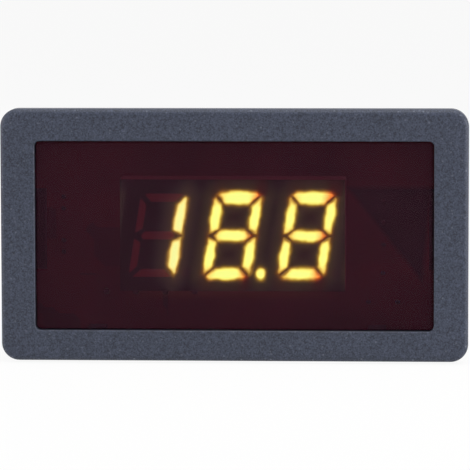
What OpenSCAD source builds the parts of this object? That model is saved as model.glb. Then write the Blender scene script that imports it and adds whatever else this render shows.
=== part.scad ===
// Three-digit digital panel meter in a snap-in moulded housing.
// X runs across the front, +Z is up and the front faces -Y. The origin is the
// centre of the seating face behind the bezel, so y = 0 is the panel's front.

/* [Bezel] */
// Width of the bezel
bezel_w = 79; // [78:0.5:82]
// Height of the bezel
bezel_h = 42.7; // [42.5:0.1:44]
// How far the bezel stands in front of the panel
bezel_t = 3.5; // [3.3:0.1:4]
// Radius of the bezel's corners, seen from the front
bezel_corner_r = 3; // [2:0.25:4]
// Radius that softens the bezel's front edge
bezel_edge_r = 0.9; // [0.5:0.1:1.2]
// Thickness of the bezel's front wall around the window
front_wall_t = 1.6; // [1.4:0.1:1.8]

/* [Window] */
// Width of the window opening
window_w = 67.4; // [66:0.2:67.8]
// Height of the window opening
window_h = 32.1; // [31:0.1:32.3]
// How far the window sits below the bezel's centre
window_drop = 0.1; // [0:0.05:0.3]
// Radius of the window opening's corners
window_corner_r = 0.9; // [0.7:0.1:1.5]
// How far the window's face lies behind the bezel's face
window_recess = 0.3; // [0.2:0.1:0.6]
// Clearance all round the window in its opening
window_gap = 0.2; // [0.15:0.05:0.3]
// Radius that softens the window's front edge
window_edge_r = 0.3; // [0.1:0.05:0.35]
// Width of the bevel on the front edge of the window opening
opening_bevel = 0.15; // [0.1:0.05:0.25]

/* [Housing] */
// Width of the sleeve that passes through the panel
sleeve_w = 75; // [74.5:0.5:75.5]
// Height of the sleeve
sleeve_h = 38.7; // [38.5:0.1:39]
// Depth of the sleeve behind the panel
sleeve_d = 20.2; // [20.2:0.2:22]
// Thickness of the sleeve's walls
wall_t = 1.8; // [1.6:0.1:1.9]
// Thickness of the rear cover
cover_t = 1.8; // [1.5:0.1:2.4]
// Widest reach of a snap finger beyond the sleeve
finger_reach = 1.7; // [1.3:0.1:1.8]
// Thickest panel that the snap fingers hold
panel_max = 3.2; // [3:0.1:3.4]
// Number of vent slots in the rear cover
vent_count = 7; // [3:1:9]

/* [Display] */
// Height of a digit
digit_h = 14.2; // [13.8:0.1:14.4]
// Distance from one digit to the next
digit_pitch = 12.7; // [12.5:0.1:12.7]
// Lean of the digits, in degrees
digit_lean = 9; // [0:1:10]
// Width of a segment
segment_w = 1.4; // [1.2:0.1:1.6]
// Width of the display module
display_w = 38.2; // [37.8:0.1:38.4]
// Height of the display module
display_h = 19; // [18.8:0.1:19.4]
// How much narrower a segment's light well is at its lamp
well_taper = 0.62; // [0.5:0.02:0.9]

/* [Terminals] */
// Distance from one terminal to the next
terminal_pitch = 5.08; // [5:0.04:5.08]
// Rise of a wire clamp from open to closed
clamp_travel = 1.9; // [1.5:0.1:1.9]

/* [Trimmer] */
// Diameter of the trimmer's rotor
rotor_d = 4; // [3:0.2:4.4]
// Diameter of the screwdriver hole over the trimmer
access_d = 4.4; // [4.2:0.1:5]

/* [Hidden] */
$fn = 48;

// Colours
housing_c = "#474b58";
window_c = "#8a1c28";
display_c = "#2b2220";
lit_c = "#fdf57c";
unlit_c = "#6a1f2c";
board_c = "#1f5a3a";
chip_c = "#26272a";
steel_c = "#b9bcc0";
brass_c = "#c9a24e";
cream_c = "#d9c9a0";
blue_c = "#2a5fa8";
green_c = "#2f7d52";
sleeve_c = "#22304a";

// Depths along Y of the stack behind the bezel's face
front_y = -bezel_t;
pocket_y = front_y + front_wall_t;
window_front_y = front_y + window_recess;
window_flange_t = 1.2;
window_back_y = pocket_y + window_flange_t;
display_y = 0.3;
display_d = 8;
board_y = display_y + display_d;
board_t = 1.6;
parts_y = board_y + board_t;
cover_y = sleeve_d;
rear_y = cover_y + cover_t;

// Inside of the housing
in_w = sleeve_w - 2 * wall_t;
in_h = sleeve_h - 2 * wall_t;
sleeve_corner_r = 1.5;
in_corner_r = 0.8;

// Ribs that key the window and seat the board
rib_x = 24;
rib_w = 3;
rib_reach = 1.1;
rib_play = 0.2;
flange_play = 0.35;
catch_w = 7;
catch_reach = 0.55;

// Snap fingers in the sleeve's ends
finger_w = 10;
finger_slot = 0.9;
finger_tip_y = 1.2;
finger_root_y = 14.5;
finger_first_step_y = 2.1;
finger_steps = 3;
finger_ramp_end_y = 10.5;

// Snap hooks that hold the rear cover: place along X, and +1 for the top wall or -1
hooks = [[-22, 1], [22, 1], [14, -1]];
hook_w = 8;
hook_reach = 1;
hook_y = 17.7;
hook_t = 1.6;
rim_t = 1.2;
rim_d = 3;
rim_play = 0.25;

// Digits
display_at = [-0.45, -0.3];
digit_count = 3;
half_u = 3.32;
half_v = (digit_h - segment_w) / 2;
outer_u = half_u + segment_w / 2;
inner_u = half_u - segment_w / 2;
outer_v = digit_h / 2;
inner_v = outer_v - segment_w;
segment_gap = 0.3;
corner_cut = 0.9;
cut_start = (corner_cut - segment_gap) / 2;
cut_end = (corner_cut + segment_gap) / 2;
point_d = 1.7;
point_at = [5.85, -half_v];
well_front_t = 6.5;
substrate_t = 1;
substrate_y = display_y + well_front_t;
shell_wall = 0.8;
lamp_size = 0.36;
lamp_h = 0.3;

// Lit segments of each digit, in the order a b c d e f g and then the point
lit = [
    [0, 1, 1, 0, 0, 0, 0, 0],
    [1, 1, 1, 1, 1, 1, 1, 1],
    [1, 1, 1, 1, 1, 1, 1, 0]
];

// Display pins: two rows of six
pin_pitch = 2.54;
pin_rows_z = 7.62;
pin_r = 0.25;
pin_hole_r = 0.4;
pin_reach = 1.4;

// Board
board_w = in_w - 0.8;
board_h = in_h - 0.6;
board_corner_r = 1;
board_notch = 2.4;
board_notch_h = finger_w + 4;

// Parts on the back of the board, as places [x, z]
controller_at = [0, 0];
driver_at = [for (i = [0 : 2]) [14.5 + 4 * i, 11.5]];
regulator_at = [-22, 4];
can_at = [[-30, 4.5], [-30, -3]];
diode_at = [-12, 4.5];
chip_row_at = [for (i = [0 : 7]) [-9 + 2.54 * i, 11.5]];
divider_at = [[20, 5], [20, 1.2], [20, -2.6]];
ceramic_at = [[-22, -2], [-17.5, 11.5], [11, -11], [14, -11]];
trimmer_at = [25, -10];

// Terminal block
terminal_count = 4;
block_x = -15;
block_w = terminal_count * terminal_pitch + 0.6;
block_z0 = -18.6;
block_z1 = -9.6;
block_y1 = parts_y + 10;
screw_z = -14.4;
pocket_w = 4.1;
pocket_z = [-17.4, -11.4];
pocket_y0 = parts_y + 0.6;
screw_r = 1.45;
thread_r = 1.5;
head_r = 1.85;
head_t = 1.4;
clamp_w = 3.9;
clamp_z = [-16.6, -12.2];
clamp_y0 = pocket_y0 + 0.1;
clamp_h = 4.6;
pocket_y1 = clamp_y0 + clamp_h + clamp_travel + 0.1;
head_seat_y = pocket_y1 + 0.5;
clamp_floor_t = 0.8;
clamp_roof_t = 1.1;
bar_w = 2.4;
bar_t = 0.6;
bar_y0 = clamp_y0 + clamp_h - clamp_roof_t - 0.1 - bar_t;

// Trimmer
trimmer_w = 6.6;
trimmer_h = 7;
trimmer_t = 4.6;
rotor_seat = 1.4;
rotor_proud = 0.3;
rotor_play = 0.05;

// ---------------------------------------------------------------- helpers

// A box between two places along each axis
module block(x, y, z) {
    translate([x[0], y[0], z[0]])
        cube([x[1] - x[0], y[1] - y[0], z[1] - z[0]]);
}

// A flat outline in X and Z, given thickness from y0 to y1
module slab(y0, y1) {
    translate([0, y1, 0])
        rotate([90, 0, 0])
            linear_extrude(y1 - y0)
                children();
}

// A round bar along Y
module rod(at, y0, y1, r) {
    translate([at[0], y0, at[1]])
        rotate([-90, 0, 0])
            cylinder(h = y1 - y0, r = r);
}

// A rectangle with round corners, centred
module round_rect(w, h, r) {
    square([w - 2 * r, h], center = true);
    square([w, h - 2 * r], center = true);
    for (x = [-1, 1], z = [-1, 1])
        translate([x * (w / 2 - r), z * (h / 2 - r)])
            circle(r);
}

// ---------------------------------------------------------------- housing

// Section of a softened rim: square at the back, rounded at the front
module rim_section(r, t, edge_r) {
    square([r - edge_r, t]);
    square([r, t - edge_r]);
    translate([r - edge_r, t - edge_r])
        circle(edge_r);
}

// A straight stretch of rim: the section stands up along Z and runs along Y
module rim_bar(length) {
    translate([0, length, 0])
        rotate([90, 0, 0])
            linear_extrude(length)
                children();
}

// A plate with round corners, from y_back forward by t, whose rim has the section that is handed in
module rimmed_plate(w, h, r, y_back, t) {
    cx = w / 2 - r;
    cz = h / 2 - r;
    for (x = [0, 1], z = [0, 1])
        mirror([x, 0, 0])
            mirror([0, 0, z]) {
                block([0, cx], [y_back - t, y_back], [0, cz]);
                translate([0, y_back, 0]) {
                    translate([cx, 0, cz])
                        rotate([90, 0, 0])
                            rotate_extrude(angle = 90)
                                children();
                    translate([cx, 0, 0])
                        rotate([90, 0, 0])
                            rim_bar(cz)
                                children();
                    translate([0, 0, cz])
                        rotate([90, 0, 0])
                            mirror([1, -1, 0])
                                rim_bar(cx)
                                    children();
                }
            }
}

module bezel_plate() {
    rimmed_plate(bezel_w, bezel_h, bezel_corner_r, 0, bezel_t)
        rim_section(bezel_corner_r, bezel_t, bezel_edge_r);
}

// The slots that free a snap finger on three sides
module finger_slots() {
    half = finger_w / 2;
    far = sleeve_w / 2 + 1;
    for (z = [-half - finger_slot, half])
        block([in_w / 2 - 1, far], [finger_tip_y - finger_slot, finger_root_y], [z, z + finger_slot]);
    block([in_w / 2 - 1, far], [finger_tip_y - finger_slot, finger_tip_y],
        [-half - finger_slot, half + finger_slot]);
}

// The stepped barb on a snap finger: each step holds one thickness of panel
module finger_barb() {
    face = sleeve_w / 2;
    step_y = (panel_max - finger_first_step_y) / (finger_steps - 1);
    step_x = finger_reach / finger_steps;
    stairs = [for (i = [0 : finger_steps - 1], k = [0, 1])
        [face + step_x * (i + k), finger_first_step_y + step_y * i]];
    translate([0, 0, -finger_w / 2])
        linear_extrude(finger_w)
            polygon(concat([[face - wall_t / 2, finger_first_step_y]], stairs,
                [[face + finger_reach, panel_max + 0.8], [face, finger_ramp_end_y],
                [face - wall_t / 2, finger_ramp_end_y]]));
}

// The hole through the bezel, bevelled at its front edge
module window_opening() {
    reach = opening_bevel + 1;
    translate([0, 0, -window_drop]) {
        slab(front_y - 1, pocket_y + 1)
            round_rect(window_w, window_h, window_corner_r);
        rimmed_plate(window_w, window_h, window_corner_r, front_y + opening_bevel, reach)
            polygon([[0, 0], [window_corner_r, 0], [window_corner_r + reach, reach], [0, reach]]);
    }
}

// Ribs on the long walls, from the front wall back to the board
module board_ribs() {
    for (x = [-rib_x, rib_x], z = [-1, 1])
        block([x - rib_w / 2, x + rib_w / 2], [pocket_y - 0.2, board_y],
            z > 0 ? [in_h / 2 - rib_reach, in_h / 2 + 0.2] : [-in_h / 2 - 0.2, -in_h / 2 + rib_reach]);
}

// Low catches on the long walls that hold the window from behind
module window_catches() {
    for (x = [-1, 1], z = [-1, 1])
        translate([x * 10 - catch_w / 2, 0, z * in_h / 2])
            rotate([90, 0, 90])
                linear_extrude(catch_w)
                    polygon([[window_back_y + 0.05, z * 0.2], [window_back_y + 0.05, -z * catch_reach],
                        [window_back_y + 1.6, 0], [window_back_y + 1.6, z * 0.2]]);
}

module hook_windows() {
    for (h = hooks)
        block([h[0] - hook_w / 2 - 0.3, h[0] + hook_w / 2 + 0.3], [hook_y - 0.2, hook_y + hook_t + 0.1],
            h[1] > 0 ? [in_h / 2 - 1, sleeve_h / 2 + 1] : [-sleeve_h / 2 - 1, -in_h / 2 + 1]);
}

// The gap in the bottom wall where the terminal block's wire entries come through
module terminal_gap() {
    block([block_x - block_w / 2 - 0.4, block_x + block_w / 2 + 0.4], [parts_y - 0.3, sleeve_d + 1],
        [-sleeve_h / 2 - 1, -in_h / 2 + 1]);
}

module front_housing() {
    color(housing_c) {
        difference() {
            union() {
                bezel_plate();
                slab(-0.5, sleeve_d)
                    round_rect(sleeve_w, sleeve_h, sleeve_corner_r);
            }
            window_opening();
            slab(pocket_y, sleeve_d + 1)
                round_rect(in_w, in_h, in_corner_r);
            for (side = [0, 1])
                mirror([side, 0, 0])
                    finger_slots();
            hook_windows();
            terminal_gap();
        }
        board_ribs();
        window_catches();
        for (side = [0, 1])
            mirror([side, 0, 0])
                finger_barb();
    }
}

module window() {
    flange_w = in_w - 2 * flange_play;
    flange_h = in_h - 2 * (flange_play + window_drop);
    notch = rib_w / 2 + rib_play;
    face_r = window_corner_r - window_gap;
    face_t = window_back_y - window_front_y;
    color(window_c)
        difference() {
            translate([0, 0, -window_drop]) {
                slab(pocket_y, window_back_y)
                    round_rect(flange_w, flange_h, in_corner_r);
                rimmed_plate(window_w - 2 * window_gap, window_h - 2 * window_gap, face_r, window_back_y,
                    face_t)
                    rim_section(face_r, face_t, window_edge_r);
            }
            for (x = [-rib_x, rib_x])
                for (z = [[-in_h / 2 - 1, rib_reach + rib_play - in_h / 2],
                        [in_h / 2 - rib_reach - rib_play, in_h / 2 + 1]])
                    block([x - notch, x + notch], [pocket_y - 0.1, window_back_y + 1], z);
        }
}

// ---------------------------------------------------------------- rear cover

module rear_cover() {
    rim_w = in_w - 2 * rim_play;
    rim_h = in_h - 2 * rim_play;
    vent_pitch = 3.4;
    color(housing_c)
        difference() {
            union() {
                slab(cover_y, rear_y)
                    round_rect(sleeve_w, sleeve_h, sleeve_corner_r);
                difference() {
                    slab(cover_y - rim_d, cover_y + 0.2)
                        round_rect(rim_w, rim_h, in_corner_r);
                    slab(cover_y - rim_d - 1, cover_y)
                        round_rect(rim_w - 2 * rim_t, rim_h - 2 * rim_t, in_corner_r / 2);
                }
                cover_hooks();
                for (x = [-1, 1], z = [-1, 1])
                    rod([x * (in_w / 2 - 4.2), z * (in_h / 2 - 3.1)], parts_y, cover_y + 0.2, 2.2);
            }
            block([block_x - block_w / 2 - 0.4, block_x + block_w / 2 + 0.4],
                [cover_y - rim_d - 1, rear_y + 1], [-sleeve_h / 2 - 1, block_z1 + 0.5]);
            rod(trimmer_at, cover_y - 1, rear_y + 1, access_d / 2);
            for (i = [0 : vent_count - 1])
                translate([(i - (vent_count - 1) / 2) * vent_pitch, 0, 5])
                    slab(cover_y - 1, rear_y + 1)
                        round_rect(1.4, 11, 0.65);
        }
}

// Wedge hooks on the rim, which click into the sleeve's slots
module cover_hooks() {
    reach = rim_play + hook_reach;
    root = 0.4;
    nose = 0.25;
    for (h = hooks)
        translate([h[0] - hook_w / 2, 0, h[1] * (in_h / 2 - rim_play)])
            rotate([90, 0, 90])
                linear_extrude(hook_w)
                    polygon([[hook_y, -h[1] * root], [hook_y, h[1] * nose],
                        [hook_y + hook_t - 0.5, h[1] * reach], [hook_y + hook_t, h[1] * reach],
                        [hook_y + hook_t, -h[1] * root]]);
}

// ---------------------------------------------------------------- display

// Centre of each segment in its digit: a b c d e f g
segment_centres = [
    [0, half_v], [half_u, half_v / 2], [half_u, -half_v / 2], [0, -half_v],
    [-half_u, -half_v / 2], [-half_u, half_v / 2], [0, 0]
];

// Outlines of the three kinds of segment, upright: the top bar, the upper right bar and the middle bar
top_bar = [
    [-outer_u + corner_cut, outer_v], [outer_u - corner_cut, outer_v],
    [outer_u - cut_end, outer_v - cut_start], [inner_u - segment_gap, inner_v],
    [-inner_u + segment_gap, inner_v], [-outer_u + cut_end, outer_v - cut_start]
];
side_bar = [
    [outer_u - cut_start, outer_v - cut_end], [outer_u, outer_v - corner_cut], [outer_u, segment_gap],
    [outer_u - segment_w / 4, segment_gap], [inner_u, segment_w / 2 + segment_gap],
    [inner_u, inner_v - segment_gap]
];
middle_bar = [
    [-half_u + segment_gap / 2, 0], [-inner_u, segment_w / 2], [inner_u, segment_w / 2],
    [half_u - segment_gap / 2, 0], [inner_u, -segment_w / 2], [-inner_u, -segment_w / 2]
];

function flip(points, u, v) = [for (p = points) [p.x * u, p.y * v]];

function segment_outline(k) =
    k == 0 ? top_bar :
    k == 1 ? side_bar :
    k == 2 ? flip(side_bar, 1, -1) :
    k == 3 ? flip(top_bar, 1, -1) :
    k == 4 ? flip(side_bar, -1, -1) :
    k == 5 ? flip(side_bar, -1, 1) :
    middle_bar;

function lean(p) = [p.x + p.y * tan(digit_lean), p.y];

function digit_x(i) = (i - (digit_count - 1) / 2) * digit_pitch + display_at.x;

// The light well of segment k in digit i, from its small end at the lamp to the face
module light_well(i, k) {
    centre = k < 7 ? lean(segment_centres[k]) : lean(point_at);
    translate([digit_x(i) + centre.x, substrate_y, display_at.y + centre.y])
        rotate([90, 0, 0])
            if (k < 7)
                linear_extrude(well_front_t, scale = 1 / well_taper)
                    scale(well_taper)
                        polygon([for (p = segment_outline(k)) lean(p) - centre]);
            else
                cylinder(h = well_front_t, r1 = point_d * well_taper / 2, r2 = point_d / 2);
}

// The room that a lamp takes in the clear filling of its light well
module lamp(i, k) {
    centre = k < 7 ? lean(segment_centres[k]) : lean(point_at);
    translate([digit_x(i) + centre.x, substrate_y - lamp_h / 2, display_at.y + centre.y])
        cube([lamp_size, lamp_h, lamp_size], center = true);
}

module fillings(state) {
    for (i = [0 : digit_count - 1], k = [0 : 7])
        if (lit[i][k] == state)
            difference() {
                light_well(i, k);
                lamp(i, k);
            }
}

// A box on the display's centre, smaller than its outline by an inset all round
module display_block(y, inset) {
    half_w = display_w / 2 - inset;
    half_h = display_h / 2 - inset;
    translate([display_at.x, 0, display_at.y])
        block([-half_w, half_w], y, [-half_h, half_h]);
}

module display_shell() {
    color(display_c)
        difference() {
            display_block([display_y, board_y], 0);
            display_block([substrate_y, board_y + 1], shell_wall);
            for (i = [0 : digit_count - 1], k = [0 : 7])
                light_well(i, k);
        }
}

module lit_segments() {
    color(lit_c)
        fillings(1);
}

module unlit_segments() {
    color(unlit_c)
        fillings(0);
}

module pin_places() {
    for (i = [0 : 5], z = [-1, 1])
        translate([display_at.x + (i - 2.5) * pin_pitch, 0, display_at.y + z * pin_rows_z])
            children();
}

module display_substrate() {
    play = 0.1;
    color(board_c)
        difference() {
            display_block([substrate_y, substrate_y + substrate_t], shell_wall + play);
            pin_places()
                rod([0, 0], substrate_y - 1, board_y, pin_r);
        }
}

module led_chips() {
    color(cream_c)
        for (i = [0 : digit_count - 1], k = [0 : 7])
            lamp(i, k);
}

module display_pins() {
    color(steel_c)
        pin_places()
            rod([0, 0], substrate_y + 0.1, parts_y + pin_reach, pin_r);
}

// ---------------------------------------------------------------- board

module main_board() {
    color(board_c)
        difference() {
            slab(board_y, parts_y)
                round_rect(board_w, board_h, board_corner_r);
            for (side = [0, 1])
                mirror([side, 0, 0])
                    block([board_w / 2 - board_notch, board_w / 2 + 1], [board_y - 1, parts_y + 1],
                        [-board_notch_h / 2, board_notch_h / 2]);
            pin_places()
                rod([0, 0], board_y - 1, parts_y + 1, pin_hole_r);
            for (i = [1 : terminal_count])
                rod([terminal_x(i), bar_leg_z], board_y - 1, parts_y + 1, 0.6);
            for (p = trimmer_pin_places)
                rod(p, board_y - 1, parts_y + 1, pin_hole_r);
            for (p = can_pin_places)
                rod(p, board_y - 1, parts_y + 1, pin_hole_r);
            for (p = divider_pin_places)
                rod(p, board_y - 1, parts_y + 1, pin_hole_r);
        }
}

// A moulded chip body lying on the board at a place, with its long side along X
module chip(at, w, h, t, lift) {
    block([at[0] - w / 2, at[0] + w / 2], [parts_y + lift, parts_y + lift + t],
        [at[1] - h / 2, at[1] + h / 2]);
}

// Gull-wing leads in a row: pads on the board, a rise, and a shoulder into the body
module gull_lead(at, side, body_half, width, reach, shoulder) {
    foil = 0.2;
    translate([at[0] - width / 2, parts_y, at[1]])
        rotate([90, 0, 90])
            linear_extrude(width)
                polygon([for (p = [[0, body_half + reach], [0, body_half + reach / 2],
                        [shoulder, body_half + reach / 4], [shoulder, body_half],
                        [shoulder + foil, body_half], [shoulder + foil, body_half + reach / 4 + foil],
                        [foil, body_half + reach / 2 + foil], [foil, body_half + reach]])
                    [p.x, side * p.y]]);
}

controller_w = 12.8;
controller_h = 7.5;
controller_leads = 20;

module microcontroller() {
    dimple_r = 0.5;
    color(chip_c)
        difference() {
            chip(controller_at, controller_w, controller_h, 2.3, 0.15);
            rod(controller_at + [1.2 - controller_w / 2, 1.2 - controller_h / 2],
                parts_y + 2.25, parts_y + 3, dimple_r);
        }
}

module microcontroller_leads() {
    color(steel_c)
        for (i = [0 : controller_leads / 2 - 1], side = [-1, 1])
            gull_lead(controller_at + [(i - (controller_leads / 2 - 1) / 2) * 1.27, 0], side,
                controller_h / 2, 0.42, 1.4, 1);
}

module digit_drivers() {
    color(chip_c)
        for (at = driver_at)
            chip(at, 2.9, 1.3, 0.95, 0.1);
}

module driver_leads() {
    color(steel_c)
        for (at = driver_at) {
            gull_lead(at - [0.95, 0], -1, 0.65, 0.4, 0.55, 0.4);
            gull_lead(at + [0.95, 0], -1, 0.65, 0.4, 0.55, 0.4);
            gull_lead(at, 1, 0.65, 0.4, 0.55, 0.4);
        }
}

module voltage_regulator() {
    color(chip_c)
        chip(regulator_at, 6.5, 3.5, 1.6, 0.05);
}

module regulator_leads() {
    color(steel_c) {
        for (x = [-2.3, 0, 2.3])
            gull_lead(regulator_at + [x, 0], -1, 1.75, 0.7, 1.75, 0.7);
        gull_lead(regulator_at, 1, 1.75, 3, 1.75, 0.7);
    }
}

can_r = 2.5;
can_t = 7.4;
can_pin_gap = 2;
can_pin_places = [for (c = can_at, s = [-1, 1]) c + [0, s * can_pin_gap / 2]];

// Aluminium cans with a rolled waist near the board
module electrolytic_capacitors() {
    waist_y = 1.2;
    color(sleeve_c)
        for (at = can_at)
            translate([at[0], parts_y + 0.1, at[1]])
                rotate([-90, 0, 0])
                    difference() {
                        cylinder(h = can_t, r = can_r);
                        translate([0, 0, waist_y])
                            rotate_extrude()
                                translate([can_r + 0.15, 0])
                                    circle(0.35);
                        for (turn = [0, 60, 120])
                            rotate([0, 0, turn])
                                translate([-1.6, -0.1, can_t - 0.15])
                                    cube([3.2, 0.2, 1]);
                    }
}

module capacitor_leads() {
    color(steel_c)
        for (p = can_pin_places)
            rod(p, board_y - 0.8, parts_y + 0.1, pin_r);
}

module protection_diode() {
    color(chip_c)
        chip(diode_at, 4.3, 2.6, 2, 0.1);
}

module diode_leads() {
    color(steel_c)
        for (side = [-1, 1])
            block([diode_at[0] + (side < 0 ? -2.65 : 2.15), diode_at[0] + (side < 0 ? -2.15 : 2.65)],
                [parts_y, parts_y + 1.1], [diode_at[1] - 0.7, diode_at[1] + 0.7]);
}

// Chip resistors, each a flat tile with its long side along Z
module segment_resistors() {
    color(chip_c)
        for (at = chip_row_at)
            chip(at, 1.25, 2, 0.5, 0);
}

divider_body_w = 6.3;
divider_lead_gap = 10.16;
divider_pin_places = [for (c = divider_at, s = [-1, 1]) c + [s * divider_lead_gap / 2, 0]];
divider_lift = 1.4;

// Axial resistors: a waisted body with a bulge at each end
module divider_resistors() {
    color(cream_c)
        for (at = divider_at)
            translate([at[0] - divider_body_w / 2, parts_y + divider_lift, at[1]])
                rotate([0, 90, 0]) {
                    translate([0, 0, 0.4])
                        cylinder(h = divider_body_w - 0.8, r = 0.95);
                    for (end = [0, divider_body_w - 1.7])
                        translate([0, 0, end])
                            cylinder(h = 1.7, r = 1.15);
                }
}

module resistor_leads() {
    lead_r = 0.28;
    half = divider_lead_gap / 2;
    color(steel_c)
        for (at = divider_at, side = [0, 1])
            translate([at[0], parts_y, at[1]])
                mirror([side, 0, 0]) {
                    translate([divider_body_w / 2, divider_lift, 0])
                        rotate([0, 90, 0])
                            cylinder(h = half - divider_body_w / 2 - 0.6, r = lead_r);
                    translate([half - 0.6, divider_lift - 0.6, 0])
                        rotate_extrude(angle = 90)
                            translate([0.6, 0])
                                circle(lead_r);
                    rod([half, 0], -board_t - 0.35, divider_lift - 0.6, lead_r);
                }
}

module ceramic_capacitors() {
    color(cream_c)
        for (at = ceramic_at)
            chip(at, 1.25, 2, 0.9, 0);
}

// Solder cones round the display pins, behind the board
module solder_joints() {
    color(steel_c)
        pin_places()
            difference() {
                translate([0, parts_y, 0])
                    rotate([-90, 0, 0])
                        cylinder(h = 0.8, r1 = 0.8, r2 = 0.4);
                rod([0, 0], parts_y - 1, parts_y + 2, pin_r);
            }
}

// ---------------------------------------------------------------- trimmer

trimmer_pin_places = [
    trimmer_at + [-2.5, -2.5], trimmer_at + [2.5, -2.5], trimmer_at + [0, 2.5]
];

module trimmer_body() {
    top = parts_y + trimmer_t;
    color(blue_c)
        difference() {
            chip(trimmer_at, trimmer_w, trimmer_h, trimmer_t - 0.4, 0.4);
            rod(trimmer_at, top - rotor_seat, top + 1, rotor_d / 2 + rotor_play);
        }
}

// The rotor with its screwdriver cross
module trimmer_rotor() {
    top = parts_y + trimmer_t + rotor_proud;
    slot = 0.6;
    half = rotor_d / 2 - 0.3;
    color("#e8e4d8")
        difference() {
            rod(trimmer_at, parts_y + trimmer_t - rotor_seat + rotor_play, top, rotor_d / 2);
            translate([trimmer_at[0], top, trimmer_at[1]]) {
                block([-half, half], [-0.8, 1], [-slot / 2, slot / 2]);
                block([-slot / 2, slot / 2], [-0.8, 1], [-half, half]);
            }
        }
}

module trimmer_pins() {
    color(steel_c)
        for (p = trimmer_pin_places)
            rod(p, board_y - 0.8, parts_y + 0.4, pin_r);
}

// ---------------------------------------------------------------- terminals

function terminal_x(i) = block_x + (i - (terminal_count + 1) / 2) * terminal_pitch;
bar_leg_z = pocket_z[1] + 0.6;

module terminal_housing() {
    color(green_c)
        difference() {
            union() {
                block([block_x - block_w / 2, block_x + block_w / 2], [parts_y, block_y1 - 1.2],
                    [block_z0, block_z1]);
                block([block_x - block_w / 2, block_x + block_w / 2], [block_y1 - 1.3, block_y1],
                    [block_z0 + 1.2, block_z1 - 0.8]);
            }
            for (i = [1 : terminal_count])
                translate([terminal_x(i), 0, 0])
                    terminal_cavity();
        }
}

// The room for one clamp, its screw, its wire and its contact bar
module terminal_cavity() {
    half = pocket_w / 2;
    block([-half, half], [pocket_y0, pocket_y1], pocket_z);
    rod([0, screw_z], pocket_y1 - 0.1, head_seat_y + 0.1, screw_r + 0.15);
    rod([0, screw_z], head_seat_y, block_y1 + 1, head_r + 0.15);
    block([-1.7, 1.7], [pocket_y0 + 0.4, pocket_y0 + 3.9], [block_z0 - 1, pocket_z[0] + 0.1]);
    block([-bar_w / 2, bar_w / 2], [parts_y - 1, bar_y0 + bar_t],
        [pocket_z[1] - 0.1, bar_leg_z + bar_t / 2]);
}

// Contact bars: a tongue under each clamp's roof, a leg and a pin through the board
module terminal_bars() {
    color(brass_c)
        for (i = [1 : terminal_count])
            translate([terminal_x(i), 0, 0]) {
                block([-bar_w / 2, bar_w / 2], [bar_y0, bar_y0 + bar_t], [pocket_z[0] + 0.4, bar_leg_z]);
                block([-bar_w / 2, bar_w / 2], [parts_y, bar_y0 + bar_t],
                    [bar_leg_z - bar_t / 2, bar_leg_z + bar_t / 2]);
                block([-0.4, 0.4], [board_y - 0.9, parts_y + 0.1],
                    [bar_leg_z - bar_t / 2, bar_leg_z + bar_t / 2]);
            }
}

// A wire clamp: a square loop whose roof the screw threads into
module terminal_clamp(i) {
    half = clamp_w / 2;
    side_t = 0.6;
    color(steel_c)
        translate([terminal_x(i), 0, 0])
            difference() {
                block([-half, half], [clamp_y0, clamp_y0 + clamp_h], clamp_z);
                block([side_t - half, half - side_t],
                    [clamp_y0 + clamp_floor_t, clamp_y0 + clamp_h - clamp_roof_t],
                    [clamp_z[0] - 1, clamp_z[1] + 1]);
                rod([0, screw_z], clamp_y0 + clamp_floor_t + 0.1, clamp_y0 + clamp_h + 1, thread_r);
            }
}

module terminal_screw(i) {
    head_y = head_seat_y + 0.1;
    color(steel_c)
        translate([terminal_x(i), 0, screw_z])
            difference() {
                union() {
                    rod([0, 0], bar_y0 + bar_t + 0.1, head_y + 0.2, screw_r);
                    rod([0, 0], head_y, head_y + head_t, head_r);
                }
                block([-head_r - 1, head_r + 1], [head_y + head_t - 0.8, head_y + head_t + 1],
                    [-0.35, 0.35]);
            }
}

front_housing();
window();
rear_cover();
display_shell();
lit_segments();
unlit_segments();
display_substrate();
led_chips();
display_pins();
main_board();
microcontroller();
microcontroller_leads();
digit_drivers();
driver_leads();
voltage_regulator();
regulator_leads();
electrolytic_capacitors();
capacitor_leads();
protection_diode();
diode_leads();
segment_resistors();
divider_resistors();
resistor_leads();
ceramic_capacitors();
solder_joints();
trimmer_body();
trimmer_rotor();
trimmer_pins();
terminal_housing();
terminal_bars();
terminal_screw(1);  // terminal_screw_1
terminal_screw(2);  // terminal_screw_2
terminal_screw(3);  // terminal_screw_3
terminal_screw(4);  // terminal_screw_4
terminal_clamp(1);  // terminal_clamp_1
terminal_clamp(2);  // terminal_clamp_2
terminal_clamp(3);  // terminal_clamp_3
terminal_clamp(4);  // terminal_clamp_4
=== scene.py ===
import math

import bmesh
import bpy
from mathutils import Matrix, Vector


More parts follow.
